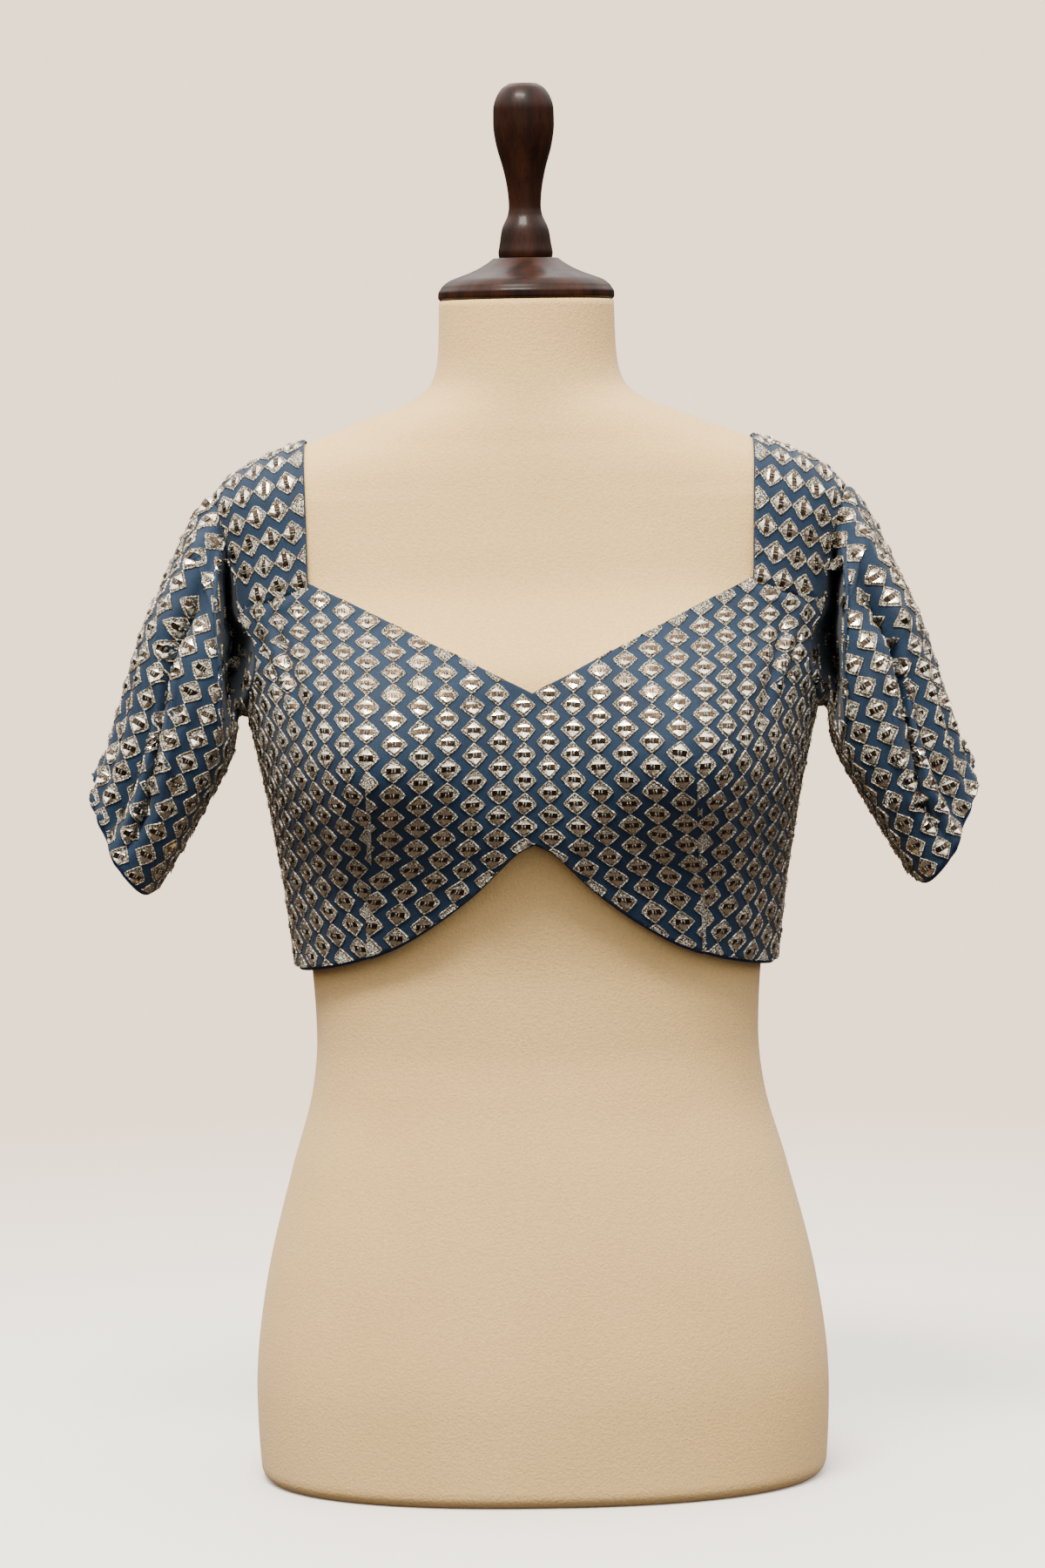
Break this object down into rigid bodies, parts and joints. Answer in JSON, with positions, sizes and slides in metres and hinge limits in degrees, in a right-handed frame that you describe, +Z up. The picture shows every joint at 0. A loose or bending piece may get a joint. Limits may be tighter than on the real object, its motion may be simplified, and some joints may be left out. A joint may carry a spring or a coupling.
{
  "type": "crop top on dress form",
  "caption": "Embroidered crop top with a wide V neck, notched hem and elbow sleeves, worn by a limbless padded dress form with a turned wooden neck cap and handle.",
  "frame": {"origin": "centre of the form's flat base, on the surface it stands on", "axes": "+Z up through the neck and handle, -Y out of the chest, +X to the wearer's left hand"},
  "size_m": [0.5112, 0.2414, 0.8],
  "materials": {
    "embroidered_cloth": "matt blue crepe with a pale metallic thread and spangle repeat",
    "plain_cloth": "plain blue turned facing, slight sheen",
    "form_cover": "short-napped beige jersey cover",
    "turned_wood": "dark polished turned wood"
  },
  "bodies": {
    "root": {"form_body": "form_cover", "neck_cap": "turned_wood", "handle": "turned_wood", "front": "embroidered_cloth", "hem_facing": "plain_cloth", "back_right": "embroidered_cloth", "strap_right": "embroidered_cloth", "sleeve_right": "embroidered_cloth", "cuff_facing_right": "plain_cloth", "back_left": "embroidered_cloth", "strap_left": "embroidered_cloth", "sleeve_left": "embroidered_cloth", "cuff_facing_left": "plain_cloth"}
  },
  "joints": []
}
